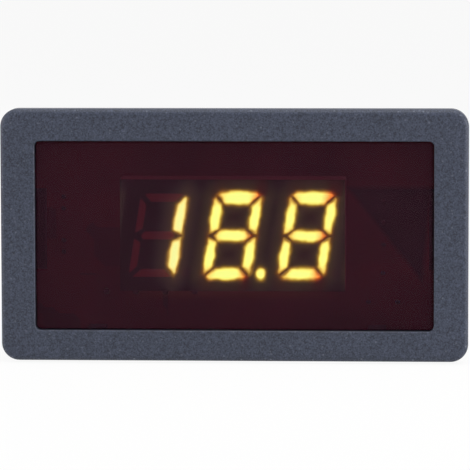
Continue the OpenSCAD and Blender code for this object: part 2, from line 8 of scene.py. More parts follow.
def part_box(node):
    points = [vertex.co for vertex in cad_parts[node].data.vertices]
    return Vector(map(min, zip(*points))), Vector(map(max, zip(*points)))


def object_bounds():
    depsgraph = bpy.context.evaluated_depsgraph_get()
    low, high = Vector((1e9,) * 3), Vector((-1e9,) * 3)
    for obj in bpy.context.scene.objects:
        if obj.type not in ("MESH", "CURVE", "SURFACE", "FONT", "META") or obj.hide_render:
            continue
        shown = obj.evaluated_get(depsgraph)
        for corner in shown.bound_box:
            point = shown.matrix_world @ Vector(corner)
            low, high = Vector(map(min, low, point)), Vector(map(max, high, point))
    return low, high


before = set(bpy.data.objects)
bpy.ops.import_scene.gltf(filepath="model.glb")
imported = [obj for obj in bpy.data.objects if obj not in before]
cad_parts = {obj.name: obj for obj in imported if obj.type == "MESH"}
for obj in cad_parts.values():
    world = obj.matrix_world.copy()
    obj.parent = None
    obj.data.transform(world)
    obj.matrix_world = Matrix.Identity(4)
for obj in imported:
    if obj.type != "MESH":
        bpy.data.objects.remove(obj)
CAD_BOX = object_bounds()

bl_info = {
    "name": "Digital Panel Meter",
    "version": (1, 0, 0),
    "blender": (4, 5, 0),
    "location": "3D View > Sidebar > Meter",
    "description": "Finishes a three-digit panel meter and sets it on a pale stage",
    "category": "Object",
}

MM = 0.001

# The floor starts in front of the meter and runs far back, just below it
FLOOR_HALF_SIZE = 2.5
FLOOR_BACK = 2.2
FLOOR_GAP = 0.0004
# Share of the floor that looks as white as the air behind; the rest takes the meter's shadow
FLOOR_WHITE = 0.92
SENSOR = 36
NEAREST_SEEN = 0.01

# Depths in mm outside the lit bars between which their light fades
GLOW_START, GLOW_END = -0.8, 3.2
# How far in mm the edge between two sides of a bar is rounded
BAR_ROUND = 0.3
# How far in mm the decimal point's light reaches past its rim
POINT_SPREAD = 0.2
# How much wider in mm the top bar shines than the bottom one
TOP_BAR_EXTRA = 0.12
# Linear colour of the display's light on the board below it
BOARD_GLOW = (0.0085, 0.0032, 0.0012)
# Planes (across, up, offset in mm) outside which the right part of the board's front is darker grey
GREY_AREA_PLANES = ((0, 1, 7.3), (-0.78, -0.62, -19.2), (0.9, -0.1, 29.4))
# Size of the fine cloud in a plain finish, and how far its tone goes up and down
FINISH_GRAIN = 0.0004
FINISH_CONTRAST = 0.12
# Added to the depth of a bar that is not lit, to leave it out
UNLIT = 20.0


# ------------------------------------------------------------------ helpers

def linear(hex_colour):
    """Turns an sRGB hex colour into linear red, green, blue and a full alpha."""
    parts = [int(hex_colour[i:i + 2], 16) / 255 for i in (1, 3, 5)]
    return tuple(p / 12.92 if p <= 0.04045 else ((p + 0.055) / 1.055) ** 2.4 for p in parts) + (1.0,)


def node(tree, kind, sockets=None, stops=None, **settings):
    """Adds a node. settings are its own, sockets fill its inputs, and stops colour a ramp."""
    new = tree.nodes.new(kind)
    for name, value in settings.items():
        setattr(new, name, value)
    for key, value in (sockets or {}).items():
        if isinstance(value, bpy.types.Node):
            value = next(out for out in value.outputs if out.enabled)
        if isinstance(value, bpy.types.NodeSocket):
            tree.links.new(value, new.inputs[key])
        else:
            new.inputs[key].default_value = value
    if stops:
        elements = new.color_ramp.elements
        elements.remove(elements[1])
        for i, (place, colour) in enumerate(stops):
            element = elements[0] if i == 0 else elements.new(place)
            element.position = place
            element.color = colour
    return new


def material(name, **surface):
    """A new material with one Principled surface, whose plain settings are given by name."""
    made = bpy.data.materials.new(name)
    made.use_nodes = True
    shader = made.node_tree.nodes["Principled BSDF"]
    for key, value in surface.items():
        shader.inputs[key.replace("_", " ")].default_value = value
    return made, made.node_tree, shader


def dress(names, finish):
    """Gives CAD nodes their finish."""
    for name in names:
        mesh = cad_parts[name].data
        if mesh.materials:
            mesh.materials[0] = finish
        else:
            mesh.materials.append(finish)


def object_place(tree):
    """The point being shaded, in metres, in the piece's own coordinates."""
    return node(tree, "ShaderNodeTexCoord").outputs["Object"]


def seen_directly(tree):
    """1 for what is seen, also in a reflection or through the window, and 0 for the light it gives."""
    path = node(tree, "ShaderNodeLightPath")
    seen = node(tree, "ShaderNodeMath", {0: path.outputs["Is Camera Ray"], 1: path.outputs["Is Glossy Ray"]},
                operation="MAXIMUM")
    return node(tree, "ShaderNodeMath", {0: seen, 1: path.outputs["Is Transmission Ray"]},
                operation="MAXIMUM")


def middle(name):
    """The centre of a CAD node's box."""
    low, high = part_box(name)
    return (low + high) / 2


# ------------------------------------------------------------------ settings

class StageSettings(bpy.types.PropertyGroup):
    distance: bpy.props.FloatProperty(
        name="Distance", description="From the camera to the meter's front", default=0.592, unit="LENGTH")
    azimuth: bpy.props.FloatProperty(
        name="Azimuth", description="Turn of the camera to the right of the front",
        default=math.radians(3.11), subtype="ANGLE")
    elevation: bpy.props.FloatProperty(
        name="Elevation", description="Rise of the camera over the level",
        default=math.radians(5.55), subtype="ANGLE")
    roll: bpy.props.FloatProperty(
        name="Roll", description="Tilt of the camera about its own axis",
        default=math.radians(-0.12), subtype="ANGLE")
    lens: bpy.props.FloatProperty(
        name="Lens", description="Focal length on a 36 mm sensor", default=267.57, unit="CAMERA")
    aim: bpy.props.FloatVectorProperty(
        name="Aim", description="The point that the camera looks at",
        default=(0.00002, 0.0, -0.00019), subtype="TRANSLATION", unit="LENGTH")
    floor_colour: bpy.props.FloatVectorProperty(
        name="Floor", description="Colour of the floor", size=4, default=linear("#F2F2F0"), subtype="COLOR")
    sky_light: bpy.props.FloatProperty(
        name="Sky light", description="Even light from all sides", default=0.26, min=0)
    top_power: bpy.props.FloatProperty(
        name="Top power", description="Power of the soft lamp above the meter",
        default=2.5, min=0, unit="POWER")
    right_power: bpy.props.FloatProperty(
        name="Right power", description="Power of the soft lamp on the right",
        default=1.2, min=0, unit="POWER")
    left_power: bpy.props.FloatProperty(
        name="Left power", description="Power of the soft lamp on the left",
        default=0.7, min=0, unit="POWER")


class HousingSettings(bpy.types.PropertyGroup):
    colour: bpy.props.FloatVectorProperty(
        name="Colour", description="Colour of the moulded housing", size=4,
        default=linear("#3C4150"), subtype="COLOR")
    speck: bpy.props.FloatVectorProperty(
        name="Speck", description="Colour of the fine specks in the housing", size=4,
        default=linear("#6A6F7C"), subtype="COLOR")
    grain: bpy.props.FloatProperty(
        name="Grain", description="Size of a pit of the eroded texture", default=0.00024, unit="LENGTH")


class WindowSettings(bpy.types.PropertyGroup):
    colour: bpy.props.FloatVectorProperty(
        name="Colour", description="Colour of the window", size=4, default=linear("#331724"), subtype="COLOR")
    density: bpy.props.FloatProperty(
        name="Density", description="Share of the light that each face of the window stops",
        default=0.5, min=0, max=1, subtype="FACTOR")


class DisplaySettings(bpy.types.PropertyGroup):
    pitch: bpy.props.FloatProperty(
        name="Pitch", description="From one digit to the next", default=0.0127, unit="LENGTH")
    lean: bpy.props.FloatProperty(
        name="Lean", description="Slant of the digits", default=math.radians(9), subtype="ANGLE")
    half_width: bpy.props.FloatProperty(
        name="Half width", description="From a digit's middle to the middle of its side bars",
        default=0.00332, unit="LENGTH")
    segment: bpy.props.FloatProperty(
        name="Segment", description="Width of a segment", default=0.0014, unit="LENGTH")
    gap: bpy.props.FloatProperty(
        name="Gap", description="Set-back of a segment's slanting end", default=0.0003, unit="LENGTH")
    corner_cut: bpy.props.FloatProperty(
        name="Corner cut", description="Bevel on the outer corners of a digit", default=0.0009, unit="LENGTH")
    spread: bpy.props.FloatProperty(
        name="Spread", description="How far the light reaches past a segment's long edges",
        default=0.0003, unit="LENGTH")
    point: bpy.props.FloatProperty(
        name="Point", description="From a digit's middle to its decimal point",
        default=0.00585, unit="LENGTH")
    point_size: bpy.props.FloatProperty(
        name="Point size", description="Diameter of the decimal point", default=0.0017, unit="LENGTH")
    face: bpy.props.FloatVectorProperty(
        name="Face", description="Colour of the display's face", size=4,
        default=linear("#1E1E1C"), subtype="COLOR")
    side: bpy.props.FloatVectorProperty(
        name="Side", description="Colour of the display's side walls", size=4,
        default=linear("#8C3440"), subtype="COLOR")
    ghost: bpy.props.FloatVectorProperty(
        name="Unlit", description="Colour of a segment that is not lit", size=4,
        default=linear("#B4282E"), subtype="COLOR")
    glow: bpy.props.FloatProperty(
        name="Glow", description="Strength of the light that the display gives", default=4.0, min=0)


# ------------------------------------------------------------------ housing

def spark_eroded_abs(settings):
    """Moulded ABS with a spark-eroded skin: a satin blue-grey, broken up by fine pits and pale specks."""
    made, tree, shader = material("spark_eroded_blue_grey_abs", Roughness=0.5, Specular_IOR_Level=0.3)
    place = object_place(tree)
    grain = node(tree, "ShaderNodeTexNoise", {0: place, "Scale": 1 / settings.grain, "Detail": 2.0})
    patch = node(tree, "ShaderNodeTexNoise", {0: place, "Scale": 1 / (3 * settings.grain), "Detail": 2.0})
    cloud = node(tree, "ShaderNodeTexNoise", {0: place, "Scale": 1 / 0.009, "Detail": 3.0})
    # Specks of pale pigment, about one to a square millimetre
    cells = node(tree, "ShaderNodeTexVoronoi", {0: place, "Scale": 1 / 0.0008})
    near = node(tree, "ShaderNodeMapRange", {0: cells.outputs["Distance"], 1: 0.3, 2: 0.1})
    pick = node(tree, "ShaderNodeMapRange", {0: cells.outputs["Color"], 1: 0.55, 2: 0.9})
    speck = node(tree, "ShaderNodeMath", {0: near, 1: pick}, operation="MULTIPLY")
    tone = node(tree, "ShaderNodeMapRange", {0: grain, 1: 0.3, 2: 0.7, 3: 0.5, 4: 1.5})
    for wide, low, high in ((patch, 0.87, 1.13), (cloud, 0.95, 1.05)):
        drift = node(tree, "ShaderNodeMapRange", {0: wide, 1: 0.3, 2: 0.7, 3: low, 4: high})
        tone = node(tree, "ShaderNodeMath", {0: tone, 1: drift}, operation="MULTIPLY")
    body = node(tree, "ShaderNodeVectorMath", {0: tuple(settings.colour)[:3], "Scale": tone},
                operation="SCALE")
    mixed = node(tree, "ShaderNodeMix", {"Factor": speck, 6: body, 7: tuple(settings.speck)},
                 data_type="RGBA")
    tree.links.new(mixed.outputs[2], shader.inputs["Base Color"])
    bump = node(tree, "ShaderNodeBump", {"Strength": 0.3, "Distance": 0.00003, "Height": grain})
    tree.links.new(bump.outputs[0], shader.inputs["Normal"])
    return made


def smoked_red_acrylic(settings):
    """Polished dark red acrylic: clear enough for lit digits, with faint cloudy tones and dust specks."""
    made, tree, shader = material("smoked_red_acrylic", Roughness=0.08, IOR=1.49, Specular_IOR_Level=0.07)
    place = object_place(tree)
    cloud = node(tree, "ShaderNodeTexNoise", {0: place, "Scale": 1 / 0.011, "Detail": 2.0})
    tone = node(tree, "ShaderNodeMapRange", {0: cloud, 1: 0.3, 2: 0.7, 3: 0.93, 4: 1.07})
    body = node(tree, "ShaderNodeVectorMath", {0: tuple(settings.colour)[:3], "Scale": tone},
                operation="SCALE")
    cells = node(tree, "ShaderNodeTexVoronoi", {0: place, "Scale": 1 / 0.0014})
    near = node(tree, "ShaderNodeMapRange", {0: cells.outputs["Distance"], 1: 0.14, 2: 0.05})
    pick = node(tree, "ShaderNodeMapRange", {0: cells.outputs["Color"], 1: 0.78, 2: 0.95})
    dust = node(tree, "ShaderNodeMath", {0: near, 1: pick}, operation="MULTIPLY")
    mixed = node(tree, "ShaderNodeMix", {"Factor": dust, 6: body, 7: linear("#8C7E86")}, data_type="RGBA")
    tree.links.new(mixed.outputs[2], shader.inputs["Base Color"])
    shader.inputs["Alpha"].default_value = settings.density
    return made


# ------------------------------------------------------------------ display

def bars(settings):
    """The three kinds of bar, each as planes (across, up, offset) in mm round its right upper half.

    A point at (across, up) lies outside a plane by their dot product less the offset.
    """
    w = settings.segment / MM
    gap = settings.gap / MM
    cut = settings.corner_cut / MM
    spread = settings.spread / MM
    low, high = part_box("lit_segments")
    outer_v = (high.z - low.z) / 2 / MM
    inner_v = outer_v - w
    half_u = settings.half_width / MM
    outer_u, inner_u = half_u + w / 2, half_u - w / 2

    def through(u, v, normal_u, normal_v):
        length = math.hypot(normal_u, normal_v)
        normal_u, normal_v = normal_u / length, normal_v / length
        return normal_u, normal_v, normal_u * u + normal_v * v

    corner = through(outer_u - cut + spread / 2, outer_v, 1, 1)
    top = [
        (0, 1, outer_v + 1.2 * spread), (0, -1, -(inner_v - 1.2 * spread)),
        through(inner_u - gap, inner_v, 1, -1), corner,
    ]
    side = [
        (1, 0, outer_u + 0.5 * spread), (-1, 0, -(inner_u - 0.5 * spread)),
        through(inner_u, inner_v - gap, -1, 1), corner,
        through(outer_u, gap, 0, -1), through(inner_u, w / 2 + gap, -2, -3),
    ]
    centre = [(0, 1, w / 2 + spread), through(half_u - gap / 2, 0, w, 1.1)]
    return top, side, centre


def display_field(tree, settings, lit_only=True):
    """Where a point of the display lies, as sockets: its depth in mm outside the bars (inside is negative),
    how far it is from the nearest lamp, its place across its digit, which digit that is, and whether its
    nearest bar is level. With lit_only the bars that are not lit are left out, and the decimal point is in.
    """
    low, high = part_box("lit_segments")
    centre = Vector((middle("display_shell").x, 0, (low.z + high.z) / 2))
    place = node(tree, "ShaderNodeVectorMath", {0: object_place(tree), 1: centre}, operation="SUBTRACT")
    place = node(tree, "ShaderNodeVectorMath", {0: place, "Scale": 1 / MM}, operation="SCALE")
    xyz = node(tree, "ShaderNodeSeparateXYZ", {0: place})
    x, z = xyz.outputs["X"], xyz.outputs["Z"]
    slope = math.tan(settings.lean)
    pitch = settings.pitch / MM
    upright = node(tree, "ShaderNodeMath", {0: z, 1: -slope, 2: x}, operation="MULTIPLY_ADD")
    digit = node(tree, "ShaderNodeMath", {0: upright, 1: 1 / pitch}, operation="MULTIPLY")
    digit = node(tree, "ShaderNodeMath", {0: digit}, operation="ROUND")
    across = node(tree, "ShaderNodeMath", {0: digit, 1: -pitch, 2: upright}, operation="MULTIPLY_ADD")
    first = node(tree, "ShaderNodeMath", {0: digit, 1: -0.5}, operation="LESS_THAN")

    # Both halves of a digit fold on to its right upper quarter. The first digit has only its right bars lit
    folded = node(tree, "ShaderNodeMath", {0: across}, operation="ABSOLUTE")
    if lit_only:
        folded = node(tree, "ShaderNodeMix", {0: first, 2: folded, 3: across})
    up = node(tree, "ShaderNodeMath", {0: z}, operation="ABSOLUTE")
    corner = node(tree, "ShaderNodeCombineXYZ", {0: folded, 1: up, 2: 1.0})
    depths = []
    for planes in bars(settings):
        depth = None
        for across_part, up_part, offset in planes:
            plane = node(tree, "ShaderNodeVectorMath", {0: corner, 1: (across_part, up_part, -offset)},
                         operation="DOT_PRODUCT").outputs["Value"]
            if depth:
                plane = node(tree, "ShaderNodeMath", {0: depth, 1: plane, 2: BAR_ROUND},
                             operation="SMOOTH_MAX")
            depth = plane
        depths.append(depth)
    top, side, middle_bar = depths
    if lit_only:
        # The top bar shines a little wider than the bottom one
        upper = node(tree, "ShaderNodeMath", {0: z, 1: 0.0}, operation="GREATER_THAN")
        top = node(tree, "ShaderNodeMath", {0: upper, 1: -TOP_BAR_EXTRA, 2: top}, operation="MULTIPLY_ADD")
    level = node(tree, "ShaderNodeMath", {0: top, 1: middle_bar}, operation="MINIMUM")
    if lit_only:
        level = node(tree, "ShaderNodeMath", {0: first, 1: UNLIT, 2: level}, operation="MULTIPLY_ADD")
    is_level = node(tree, "ShaderNodeMath", {0: level, 1: side}, operation="LESS_THAN")
    depth = node(tree, "ShaderNodeMath", {0: level, 1: side}, operation="MINIMUM")

    # A lamp sits behind the middle of each bar, and one behind the point beside the second digit
    half_u = settings.half_width / MM
    half_v = (high.z - low.z) / 2 / MM - settings.segment / MM / 2
    point = (settings.point / MM - half_v * slope, 0, -half_v)
    oval = Vector((1.25, 0, 1))
    flat = node(tree, "ShaderNodeVectorMath", {0: place, 1: oval}, operation="MULTIPLY")
    lamp = node(tree, "ShaderNodeVectorMath", {0: flat, 1: oval * Vector(point)},
                operation="DISTANCE").outputs["Value"]
    if lit_only:
        rim = settings.point_size / MM / 2 + POINT_SPREAD
        to_rim = node(tree, "ShaderNodeMath", {0: lamp, 1: rim}, operation="SUBTRACT")
        depth = node(tree, "ShaderNodeMath", {0: depth, 1: to_rim}, operation="MINIMUM")
    for at in ((0, half_v, 1), (half_u, half_v / 2, 1), (0, 0, 1)):
        reach = node(tree, "ShaderNodeVectorMath", {0: corner, 1: at}, operation="DISTANCE").outputs["Value"]
        lamp = node(tree, "ShaderNodeMath", {0: lamp, 1: reach}, operation="MINIMUM")
    return {"depth": depth, "lamp": lamp, "across": across, "digit": digit, "first": first,
            "level": is_level, "place": place}


def add_glow(tree, shader, settings, steps):
    """Sets the light that the display gives. steps pair a depth in mm outside the lit bars with a colour."""
    field = display_field(tree, settings)
    # Bars swell near their lamps, the second digit is the brightest, and every edge wavers a little
    swell = node(tree, "ShaderNodeMapRange", {0: field["lamp"], 1: 0.4, 2: 2.6, 3: -0.14, 4: 0.1})
    bright = node(tree, "ShaderNodeMath", {0: field["digit"], 1: 0.0}, operation="COMPARE")
    bright.inputs[2].default_value = 0.5
    swell = node(tree, "ShaderNodeMath", {0: bright, 1: -0.05, 2: swell}, operation="MULTIPLY_ADD")
    swell = node(tree, "ShaderNodeMath", {0: field["first"], 1: -0.12, 2: swell}, operation="MULTIPLY_ADD")
    waver = node(tree, "ShaderNodeTexNoise", {0: field["place"], "Scale": 1 / 1.5, "Detail": 1.5})
    waver = node(tree, "ShaderNodeMapRange", {0: waver, 1: 0.3, 2: 0.7, 3: -0.15, 4: 0.15})
    depth = node(tree, "ShaderNodeMath", {0: field["depth"], 1: swell}, operation="ADD")
    depth = node(tree, "ShaderNodeMath", {0: depth, 1: waver}, operation="ADD")
    factor = node(tree, "ShaderNodeMapRange", {0: depth, 1: GLOW_START, 2: GLOW_END})
    stops = [((at - GLOW_START) / (GLOW_END - GLOW_START), linear(colour)) for at, colour in steps]
    colour = node(tree, "ShaderNodeValToRGB", {0: factor}, stops=stops).outputs["Color"]

    # Far from its lamp a bar turns orange, most of all at the right ends of the third digit's level bars
    end = node(tree, "ShaderNodeMath", {0: field["digit"], 1: 0.45, 2: field["across"]},
               operation="MULTIPLY_ADD")
    end = node(tree, "ShaderNodeMapRange", {0: end, 1: 1.7, 2: 3.3})
    end = node(tree, "ShaderNodeMath", {0: end, 1: field["level"]}, operation="MULTIPLY")
    tip = node(tree, "ShaderNodeMapRange", {0: field["lamp"], 1: 1.5, 2: 3.4, 4: 0.45})
    end = node(tree, "ShaderNodeMath", {0: end, 1: tip}, operation="MAXIMUM")
    whole = node(tree, "ShaderNodeMath", {0: 1.0, 1: field["first"]}, operation="SUBTRACT")
    end = node(tree, "ShaderNodeMath", {0: end, 1: whole}, operation="MULTIPLY")
    # The decimal point stands beside its digit and has its own lamp, so it stays yellow
    aside = node(tree, "ShaderNodeMath", {0: field["across"]}, operation="ABSOLUTE")
    within = (settings.half_width + settings.segment) / MM
    aside = node(tree, "ShaderNodeMath", {0: aside, 1: within}, operation="LESS_THAN")
    end = node(tree, "ShaderNodeMath", {0: end, 1: aside}, operation="MULTIPLY")
    colour = node(tree, "ShaderNodeMix", {0: end, 6: colour, 7: (0.92, 0.26, 0.16, 1)},
                  data_type="RGBA", blend_type="MULTIPLY").outputs[2]
    cream = node(tree, "ShaderNodeMath", {0: field["first"], 1: 0.8}, operation="MULTIPLY")
    colour = node(tree, "ShaderNodeMix", {0: cream, 6: colour, 7: (0.97, 0.86, 1.4, 1)},
                  data_type="RGBA", blend_type="MULTIPLY").outputs[2]
    tree.links.new(colour, shader.inputs["Emission Color"])
    shader.inputs["Emission Strength"].default_value = settings.glow


LIT_STEPS = [
    (-0.8, "#F2FF88"), (-0.6, "#FAFF82"), (-0.46, "#FFF67A"), (-0.32, "#F5DF65"), (-0.16, "#CAAB3F"),
    (0.0, "#957423"), (0.16, "#6E5014"), (0.34, "#4A3812"), (0.55, "#342A12"), (0.9, "#282112"),
    (1.6, "#201B10"), (2.4, "#100F0A"), (3.2, "#000000"),
]


def smoked_display_face(settings):
    """Matt smoked face on a moulded display: dark, with a painted warm glow where the lit bars' light spills
    on to it. The sides of the moulding are unpainted, so they look lighter and redder through the window, and
    they carry a painted glow too."""
    made, tree, shader = material("smoked_display_face", Roughness=0.6, Specular_IOR_Level=0.2)
    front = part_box("display_shell")[0].y
    place = node(tree, "ShaderNodeSeparateXYZ", {0: object_place(tree)})
    side = node(tree, "ShaderNodeMath", {0: place.outputs["Y"], 1: front + 0.05 * MM},
                operation="GREATER_THAN")
    grain = node(tree, "ShaderNodeTexNoise", {0: object_place(tree), "Scale": 1 / 0.0009, "Detail": 2.0})
    tone = node(tree, "ShaderNodeMapRange", {0: grain, 1: 0.3, 2: 0.7, 3: 0.85, 4: 1.15})
    face = node(tree, "ShaderNodeVectorMath", {0: tuple(settings.face)[:3], "Scale": tone}, operation="SCALE")
    mixed = node(tree, "ShaderNodeMix", {0: side, 6: face, 7: tuple(settings.side)}, data_type="RGBA")
    tree.links.new(mixed.outputs[2], shader.inputs["Base Color"])
    # Painted glow: emission on the face stands for the lit bars' light spilling on to it
    add_glow(tree, shader, settings, LIT_STEPS)
    glow = shader.inputs["Emission Color"].links[0].from_socket
    # Painted glow on the side walls, as if the display's light leaked through them
    leak = node(tree, "ShaderNodeMix", {0: side, 6: glow, 7: linear("#24080B")}, data_type="RGBA")
    tree.links.new(leak.outputs[2], shader.inputs["Emission Color"])
    return made


def lit_epoxy(settings):
    """Clear epoxy with a lamp behind it: even bright yellow that softens at its rim."""
    made, tree, shader = material("lit_clear_epoxy", Roughness=0.3)
    shader.inputs["Base Color"].default_value = linear("#E8D878")
    add_glow(tree, shader, settings, LIT_STEPS)
    return made


def unlit_epoxy(settings):
    """The same epoxy over an unlit lamp: dull red in the middle of its well, dark at the well's rim, and warm
    where its lit neighbour shines on it."""
    made, tree, shader = material("unlit_clear_epoxy", Roughness=0.35, Specular_IOR_Level=0.2)
    field = display_field(tree, settings, lit_only=False)
    inside = node(tree, "ShaderNodeMapRange", {0: field["depth"], 1: -0.1, 2: -0.4},
                  interpolation_type="SMOOTHSTEP")
    mixed = node(tree, "ShaderNodeMix", {0: inside, 6: tuple(settings.face), 7: tuple(settings.ghost)},
                 data_type="RGBA")
    tree.links.new(mixed.outputs[2], shader.inputs["Base Color"])
    # Painted glow: emission stands for the lit neighbours' light falling on the unlit bars
    add_glow(tree, shader, settings, [
        (-0.8, "#FFE080"), (0.0, "#957423"), (0.3, "#5A3A14"), (0.8, "#301F12"), (1.6, "#201510"),
        (2.4, "#120C0A"), (3.2, "#060404"),
    ])
    return made


# ------------------------------------------------------------------ shared finish

def plain_finish(name, colour, roughness, metallic=0.0):
    """A finish of one colour with a fine cloud of lighter and darker tone, and a slight unevenness."""
    made, tree, shader = material(name, Roughness=roughness, Metallic=metallic)
    place = object_place(tree)
    cloud = node(tree, "ShaderNodeTexNoise", {0: place, "Scale": 1 / FINISH_GRAIN, "Detail": 3.0})
    tone = node(tree, "ShaderNodeMapRange",
                {0: cloud, 1: 0.3, 2: 0.7, 3: 1 - FINISH_CONTRAST, 4: 1 + FINISH_CONTRAST})
    body = node(tree, "ShaderNodeVectorMath", {0: linear(colour)[:3], "Scale": tone}, operation="SCALE")
    tree.links.new(body.outputs[0], shader.inputs["Base Color"])
    relief = node(tree, "ShaderNodeBump", {"Strength": 0.1, "Distance": 0.02 * MM, "Height": cloud})
    tree.links.new(relief.outputs[0], shader.inputs["Normal"])
    return made


# ------------------------------------------------------------------ board

def etched_board(settings):
    """Circuit board: green solder mask at the back, and at the front a red-brown face under lacquer with
    darker grey areas, and a painted olive glow below the display, as if it caught the display's light."""
    made, tree, shader = material("etched_phenolic_board", Roughness=0.6, Specular_IOR_Level=0.2)
    place = object_place(tree)
    low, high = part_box("main_board")
    xyz = node(tree, "ShaderNodeSeparateXYZ", {0: place})
    flat = node(tree, "ShaderNodeVectorMath", {0: place, "Scale": 1 / MM}, operation="SCALE")
    grain = node(tree, "ShaderNodeTexNoise", {0: place, "Scale": 1 / 0.012, "Detail": 2.0})
    tone = node(tree, "ShaderNodeMapRange", {0: grain, 1: 0.3, 2: 0.7, 3: 0.75, 4: 1.25})

    # The front is darker grey where a corner is cut off on the right, and in blocks on the left
    grey_area = None
    for across, up, offset in GREY_AREA_PLANES:
        out = node(tree, "ShaderNodeVectorMath", {0: flat, 1: (across, 0, up)}, operation="DOT_PRODUCT")
        out = node(tree, "ShaderNodeMath", {0: out.outputs["Value"], 1: offset}, operation="SUBTRACT")
        grey_area = node(tree, "ShaderNodeMath", {0: grey_area, 1: out}, operation="MAXIMUM") if grey_area else out
    grey_area = node(tree, "ShaderNodeMapRange", {0: grey_area, 1: 0.5, 2: -0.5})
    cells = node(tree, "ShaderNodeTexVoronoi", {0: place, "Scale": 1 / 0.0062, "Randomness": 0.8},
                 distance="CHEBYCHEV")
    block = node(tree, "ShaderNodeMapRange", {0: cells.outputs["Color"], 1: 0.3, 2: 0.25, 4: 0.55})
    left = node(tree, "ShaderNodeMath", {0: xyz.outputs["X"], 1: -0.012}, operation="LESS_THAN")
    block = node(tree, "ShaderNodeMath", {0: block, 1: left}, operation="MULTIPLY")
    grey_area = node(tree, "ShaderNodeMath", {0: grey_area, 1: block}, operation="MAXIMUM")
    front = node(tree, "ShaderNodeMix", {0: grey_area, 6: linear("#98282E"), 7: linear("#3A3238")},
                 data_type="RGBA")
    is_back = node(tree, "ShaderNodeMath", {0: xyz.outputs["Y"], 1: (low.y + high.y) / 2},
                   operation="GREATER_THAN")
    colour = node(tree, "ShaderNodeMix", {0: is_back, 6: front.outputs[2], 7: linear("#1E5A3A")},
                  data_type="RGBA")
    colour = node(tree, "ShaderNodeVectorMath", {0: colour.outputs[2], "Scale": tone}, operation="SCALE")
    tree.links.new(colour.outputs[0], shader.inputs["Base Color"])

    # The strip below the display gets a painted glow, as if it caught the display's light
    shell_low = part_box("display_shell")[0]
    glow = node(tree, "ShaderNodeMapRange",
                {0: xyz.outputs["Z"], 1: shell_low.z - 2.2 * MM, 2: shell_low.z - 1.8 * MM})
    aside = node(tree, "ShaderNodeMath", {0: xyz.outputs["X"], 1: middle("display_shell").x},
                 operation="SUBTRACT")
    aside = node(tree, "ShaderNodeMath", {0: aside}, operation="ABSOLUTE")
    aside = node(tree, "ShaderNodeMapRange", {0: aside, 1: 0.0195, 2: 0.012})
    glow = node(tree, "ShaderNodeMath", {0: glow, 1: aside}, operation="MULTIPLY")
    is_front = node(tree, "ShaderNodeMath", {0: 1.0, 1: is_back}, operation="SUBTRACT")
    below = node(tree, "ShaderNodeMath", {0: xyz.outputs["Z"], 1: shell_low.z + 1 * MM},
                 operation="LESS_THAN")
    glow = node(tree, "ShaderNodeMath", {0: glow, 1: is_front}, operation="MULTIPLY")
    glow = node(tree, "ShaderNodeMath", {0: glow, 1: below}, operation="MULTIPLY")
    light = node(tree, "ShaderNodeVectorMath", {0: BOARD_GLOW, "Scale": glow}, operation="SCALE")
    tree.links.new(light.outputs[0], shader.inputs["Emission Color"])
    shader.inputs["Emission Strength"].default_value = settings.glow
    return made


def tinned_finish(name, metal):
    """Tin or solder: bright at the back of the board, and dull brown under flux lacquer at its front."""
    made = plain_finish(name, metal, 0.3, metallic=1.0)
    tree = made.node_tree
    shader = tree.nodes["Principled BSDF"]
    clean = shader.inputs["Base Color"].links[0].from_socket
    place = node(tree, "ShaderNodeSeparateXYZ", {0: object_place(tree)})
    low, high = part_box("main_board")
    is_front = node(tree, "ShaderNodeMath", {0: place.outputs["Y"], 1: (low.y + high.y) / 2},
                    operation="LESS_THAN")
    mixed = node(tree, "ShaderNodeMix", {0: is_front, 6: clean, 7: linear("#4A2428")}, data_type="RGBA")
    tree.links.new(mixed.outputs[2], shader.inputs["Base Color"])
    shine = node(tree, "ShaderNodeMath", {0: 1.0, 1: is_front}, operation="SUBTRACT")
    tree.links.new(shine.outputs[0], shader.inputs["Metallic"])
    rough = node(tree, "ShaderNodeMapRange", {0: is_front, 3: 0.3, 4: 0.7})
    tree.links.new(rough.outputs[0], shader.inputs["Roughness"])
    return made


# ------------------------------------------------------------------ operators

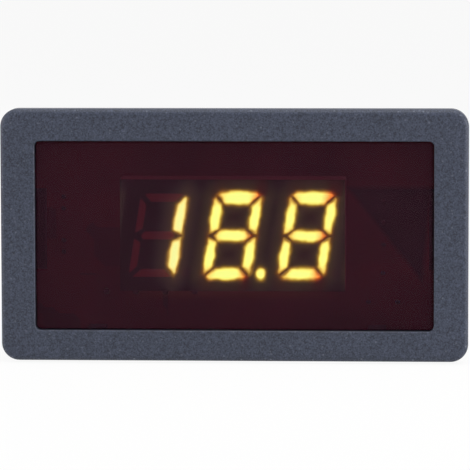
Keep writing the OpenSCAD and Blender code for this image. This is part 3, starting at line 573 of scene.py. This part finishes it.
class METER_OT_stage(bpy.types.Operator):
    """Sets the camera, the floor and the soft lamps"""
    bl_idname = "meter.stage"
    bl_label = "Set the stage"

    def execute(self, context):
        settings = context.scene.meter_stage
        context.scene.view_settings.view_transform = "Standard"
        self.place_camera(context, settings)
        self.lay_floor(settings)
        self.light(context, settings)
        return {"FINISHED"}

    def place_camera(self, context, settings):
        azimuth, elevation, roll = settings.azimuth, settings.elevation, settings.roll
        back = Vector((math.sin(azimuth) * math.cos(elevation), -math.cos(azimuth) * math.cos(elevation),
                       math.sin(elevation)))
        right = Vector((math.cos(azimuth), math.sin(azimuth), 0))
        up = back.cross(right)
        turned = Matrix.Rotation(roll, 3, back)
        right, up = turned @ right, turned @ up
        data = bpy.data.cameras.new("camera")
        data.lens = settings.lens
        data.sensor_width = SENSOR
        data.clip_start = NEAREST_SEEN
        camera = bpy.data.objects.new("camera", data)
        context.scene.collection.objects.link(camera)
        camera.matrix_world = Matrix((right, up, back)).transposed().to_4x4()
        camera.location = Vector(settings.aim) + back * settings.distance
        context.scene.camera = camera

    def lay_floor(self, settings):
        low = CAD_BOX[0]
        shape = bmesh.new()
        bmesh.ops.create_grid(shape, x_segments=2, y_segments=2, size=FLOOR_HALF_SIZE)
        bmesh.ops.translate(shape, verts=shape.verts, vec=(0, FLOOR_BACK, low[2] - FLOOR_GAP))
        mesh = bpy.data.meshes.new("floor")
        shape.to_mesh(mesh)
        shape.free()
        floor = bpy.data.objects.new("floor", mesh)
        bpy.context.scene.collection.objects.link(floor)
        mesh.materials.append(self.matt_paper(settings))

    def matt_paper(self, settings):
        # Matt white paper: seen straight on it is as white as the air behind, and still takes a soft shadow
        made, tree, shader = material("matt_white_paper", Roughness=0.9, Specular_IOR_Level=0.1)
        fibre = node(tree, "ShaderNodeTexNoise", {0: object_place(tree), "Scale": 1 / 0.002})
        tone = node(tree, "ShaderNodeMapRange", {0: fibre, 3: 0.98, 4: 1.0})
        body = node(tree, "ShaderNodeVectorMath", {0: tuple(settings.floor_colour)[:3], "Scale": tone},
                    operation="SCALE")
        tree.links.new(body.outputs[0], shader.inputs["Base Color"])
        seen = seen_directly(tree)
        share = node(tree, "ShaderNodeMath", {0: seen, 1: FLOOR_WHITE}, operation="MULTIPLY")
        white = node(tree, "ShaderNodeEmission", {"Color": (1, 1, 1, 1), "Strength": 1.0})
        mixed = node(tree, "ShaderNodeMixShader", {0: share, 1: shader.outputs[0], 2: white.outputs[0]})
        tree.links.new(mixed.outputs[0], tree.nodes["Material Output"].inputs[0])
        return made

    def light(self, context, settings):
        world = bpy.data.worlds.new("pale_air")
        context.scene.world = world
        world.use_nodes = True
        tree = world.node_tree
        tree.nodes.clear()
        seen = seen_directly(tree)
        strength = node(tree, "ShaderNodeMapRange", {0: seen, 3: settings.sky_light, 4: 1.0})
        air = node(tree, "ShaderNodeBackground", {"Color": (1, 1, 1, 1), "Strength": strength})
        out = node(tree, "ShaderNodeOutputWorld")
        tree.links.new(air.outputs[0], out.inputs["Surface"])
        self.hang_lamp(context, "top_lamp", settings.top_power, 0.4, Vector((0.1, -0.12, 0.6)))
        self.hang_lamp(context, "right_lamp", settings.right_power, 0.2, Vector((0.42, -0.12, 0.1)))
        self.hang_lamp(context, "left_lamp", settings.left_power, 0.2, Vector((-0.42, -0.1, 0.1)))

    def hang_lamp(self, context, name, power, size, place):
        data = bpy.data.lights.new(name, "AREA")
        data.energy = power
        data.size = size
        lamp = bpy.data.objects.new(name, data)
        context.scene.collection.objects.link(lamp)
        lamp.location = place
        lamp.rotation_euler = place.to_track_quat("Z", "Y").to_euler()


class METER_OT_housing(bpy.types.Operator):
    """Finishes the moulded housing and its rear cover"""
    bl_idname = "meter.housing"
    bl_label = "Finish the housing"

    def execute(self, context):
        dress(["front_housing", "rear_cover"], spark_eroded_abs(context.scene.meter_housing))
        return {"FINISHED"}


class METER_OT_window(bpy.types.Operator):
    """Finishes the red window"""
    bl_idname = "meter.window"
    bl_label = "Finish the window"

    def execute(self, context):
        dress(["window"], smoked_red_acrylic(context.scene.meter_window))
        return {"FINISHED"}


class METER_OT_display(bpy.types.Operator):
    """Finishes the display and lights its segments"""
    bl_idname = "meter.display"
    bl_label = "Light the display"

    def execute(self, context):
        settings = context.scene.meter_display
        dress(["display_shell"], smoked_display_face(settings))
        dress(["lit_segments"], lit_epoxy(settings))
        dress(["unlit_segments"], unlit_epoxy(settings))
        return {"FINISHED"}


class METER_OT_board(bpy.types.Operator):
    """Finishes the circuit board and the parts on it"""
    bl_idname = "meter.board"
    bl_label = "Finish the board"

    def execute(self, context):
        # Moulded epoxy: dull black
        epoxy = plain_finish("moulded_black_epoxy", "#1E1F22", 0.55)
        dress(["main_board"], etched_board(context.scene.meter_display))
        # Glass and epoxy laminate: a plain satin green
        dress(["display_substrate"], plain_finish("green_glass_epoxy", "#3A6A48", 0.45))
        # Tin on copper: bright grey metal
        dress([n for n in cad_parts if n.endswith(("_leads", "_pins"))],
              tinned_finish("tinned_copper", "#C4C6CA"))
        dress(["microcontroller", "digit_drivers", "voltage_regulator", "protection_diode"], epoxy)
        # Chip resistors have a glossy black glaze, and the larger ones a pale blue dipped lacquer
        dress(["segment_resistors"], plain_finish("glazed_chip_resistor", "#15161A", 0.25))
        dress(["divider_resistors"], plain_finish("dipped_resistor_lacquer", "#86B4C8", 0.3))
        # Fired ceramic: dull tan
        dress(["ceramic_capacitors"], plain_finish("fired_tan_ceramic", "#A98F6C", 0.5))
        # Heat-shrunk sleeve: glossy dark blue
        dress(["electrolytic_capacitors"], plain_finish("shrunk_capacitor_sleeve", "#1C2740", 0.3))
        # Wetted solder: smooth bright grey
        dress(["solder_joints"], tinned_finish("wetted_solder", "#BFC2C6"))
        # Sawn crystal: pale dull yellow
        dress(["led_chips"], plain_finish("sawn_led_crystal", "#C8B070", 0.4))
        return {"FINISHED"}


class METER_OT_trimmer(bpy.types.Operator):
    """Finishes the trimmer"""
    bl_idname = "meter.trimmer"
    bl_label = "Finish the trimmer"

    def execute(self, context):
        # Moulded nylon: a smooth blue body and a cream rotor with less shine
        dress(["trimmer_body"], plain_finish("moulded_blue_nylon", "#1F52A0", 0.35))
        dress(["trimmer_rotor"], plain_finish("moulded_cream_nylon", "#DCD6C2", 0.45))
        return {"FINISHED"}


class METER_OT_terminals(bpy.types.Operator):
    """Finishes the terminal block, its screws and its clamps"""
    bl_idname = "meter.terminals"
    bl_label = "Finish the terminals"

    def execute(self, context):
        # Moulded polyamide: an even satin green
        dress(["terminal_housing"], plain_finish("moulded_green_polyamide", "#1F7A48", 0.38))
        # Tinned brass strip: bright, with a trace of yellow
        dress(["terminal_bars"], tinned_finish("tinned_brass_strip", "#C8B480"))
        # Zinc plating: the screws are brighter than the pressed clamps
        screws = plain_finish("bright_zinc_screw", "#C9CACF", 0.25, metallic=1.0)
        clamps = plain_finish("zinc_plated_clamp", "#B4B6BA", 0.38, metallic=1.0)
        dress([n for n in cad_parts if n.startswith("terminal_screw")], screws)
        dress([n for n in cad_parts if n.startswith("terminal_clamp")], clamps)
        return {"FINISHED"}


class METER_PT_panel(bpy.types.Panel):
    """Lists the steps that finish the meter, with their settings"""
    bl_label = "Digital Panel Meter"
    bl_idname = "METER_PT_panel"
    bl_space_type = "VIEW_3D"
    bl_region_type = "UI"
    bl_category = "Meter"

    def draw(self, context):
        for step in STEPS:
            self.layout.operator(step.bl_idname)
        for name, group in SETTINGS.items():
            box = self.layout.box()
            for field in group.__annotations__:
                box.prop(getattr(context.scene, name), field)


SETTINGS = {
    "meter_stage": StageSettings,
    "meter_housing": HousingSettings,
    "meter_window": WindowSettings,
    "meter_display": DisplaySettings,
}
STEPS = [METER_OT_stage, METER_OT_housing, METER_OT_window, METER_OT_display, METER_OT_board,
         METER_OT_trimmer, METER_OT_terminals]


def register():
    for made in [*SETTINGS.values(), *STEPS, METER_PT_panel]:
        bpy.utils.register_class(made)
    for name, group in SETTINGS.items():
        setattr(bpy.types.Scene, name, bpy.props.PointerProperty(type=group))


def unregister():
    for name in SETTINGS:
        delattr(bpy.types.Scene, name)
    for made in reversed([*SETTINGS.values(), *STEPS, METER_PT_panel]):
        bpy.utils.unregister_class(made)


def main():
    register()
    for step in STEPS:
        group, action = step.bl_idname.split(".")
        getattr(getattr(bpy.ops, group), action)()


if __name__ == "__main__":
    main()
